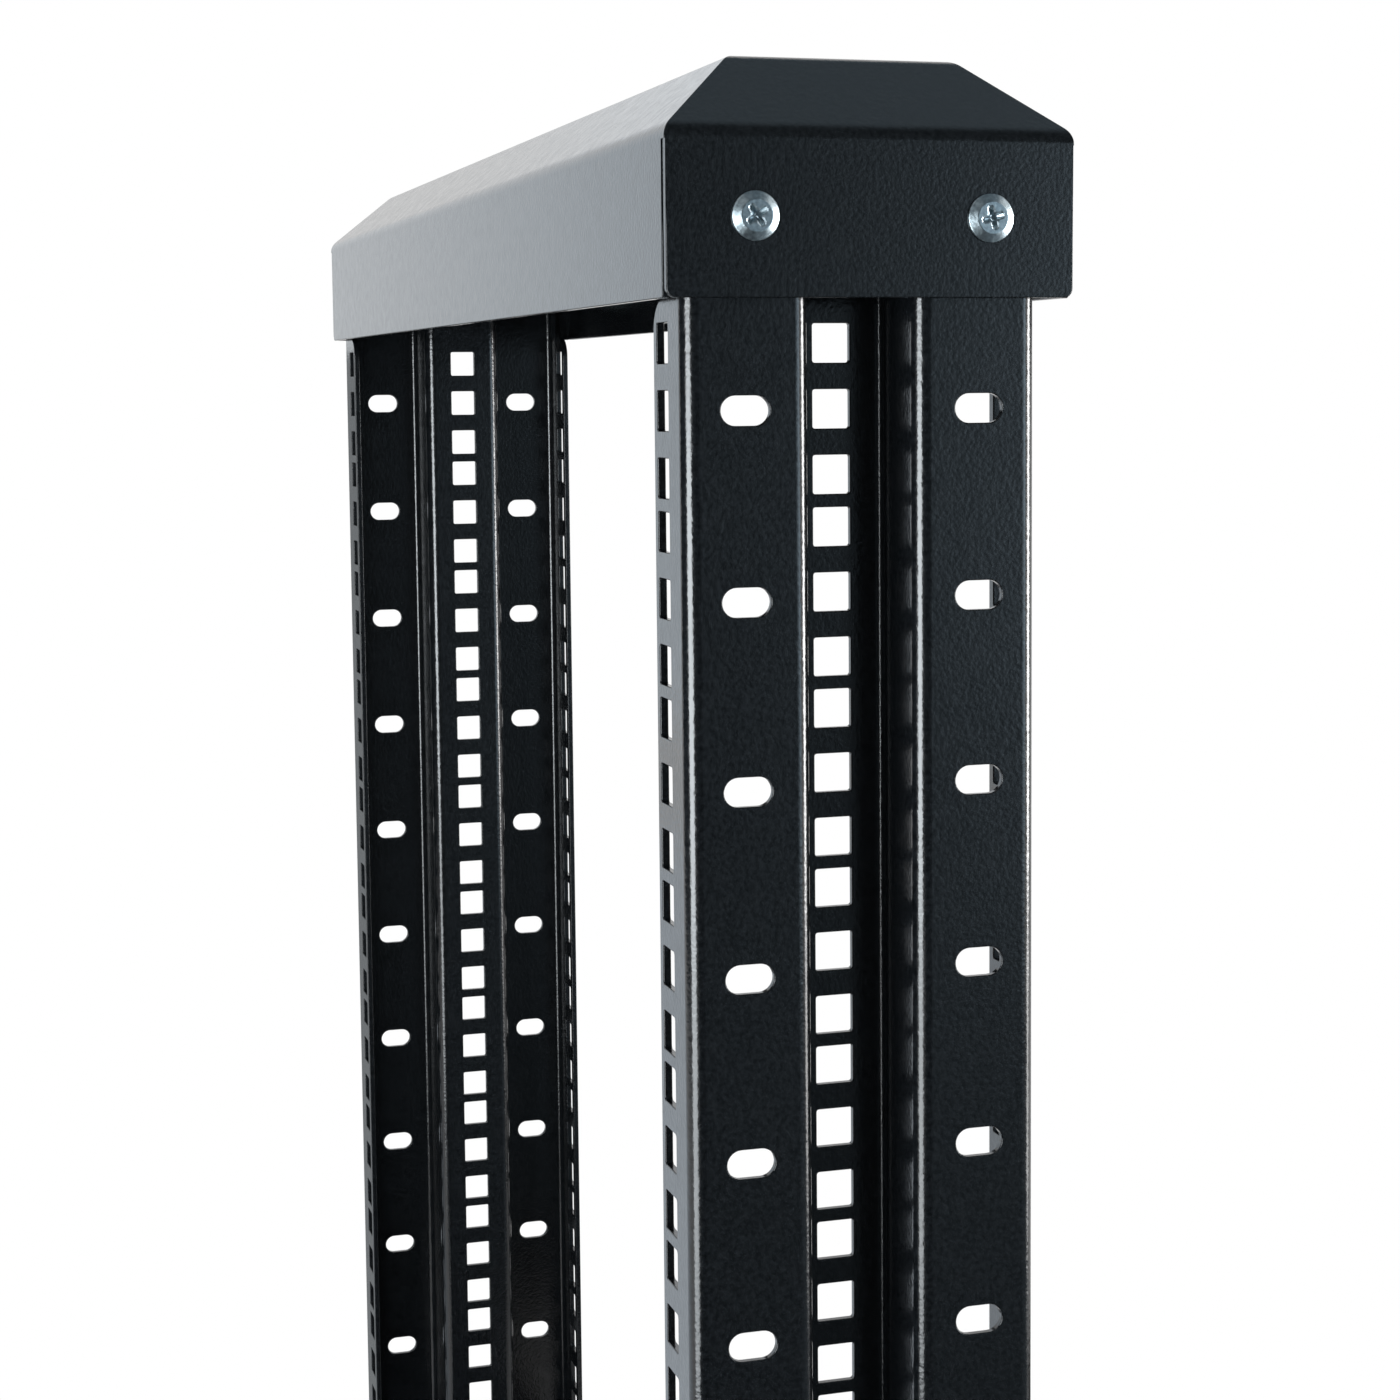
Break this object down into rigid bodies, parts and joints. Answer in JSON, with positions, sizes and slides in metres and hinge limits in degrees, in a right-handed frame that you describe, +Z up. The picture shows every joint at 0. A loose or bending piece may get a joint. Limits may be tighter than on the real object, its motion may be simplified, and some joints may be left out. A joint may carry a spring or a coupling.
{
  "type": "four-post open frame rack",
  "caption": "Open frame equipment rack: perforated folded-steel uprights in portals with hipped top caps, standing on sills, base rails and levelling feet.",
  "frame": {"origin": "On the floor, under the middle of the rack", "axes": "+X to the right, -Y to the front (the portal in the picture), +Z up"},
  "size_m": [0.504, 0.8, 0.6447],
  "materials": {
    "black_powder_coat": "fine-textured semi-gloss black powder coat",
    "zinc_plated_steel": "bright bluish zinc plate",
    "foot_plastic": "matt black moulded plastic"
  },
  "bodies": {
    "root": {"upright_front_left": "black_powder_coat", "upright_front_right": "black_powder_coat", "upright_rear_left": "black_powder_coat", "upright_rear_right": "black_powder_coat", "top_cap_front": "black_powder_coat", "top_cap_rear": "black_powder_coat", "base_sill_front": "black_powder_coat", "base_sill_rear": "black_powder_coat", "base_rail_left": "black_powder_coat", "base_rail_right": "black_powder_coat", "foot_pad_front_left": "foot_plastic", "foot_stud_front_left": "zinc_plated_steel", "foot_nut_front_left": "zinc_plated_steel", "foot_pad_front_right": "foot_plastic", "foot_stud_front_right": "zinc_plated_steel", "foot_nut_front_right": "zinc_plated_steel", "foot_pad_rear_left": "foot_plastic", "foot_stud_rear_left": "zinc_plated_steel", "foot_nut_rear_left": "zinc_plated_steel", "foot_pad_rear_right": "foot_plastic", "foot_stud_rear_right": "zinc_plated_steel", "foot_nut_rear_right": "zinc_plated_steel"}
  },
  "joints": []
}
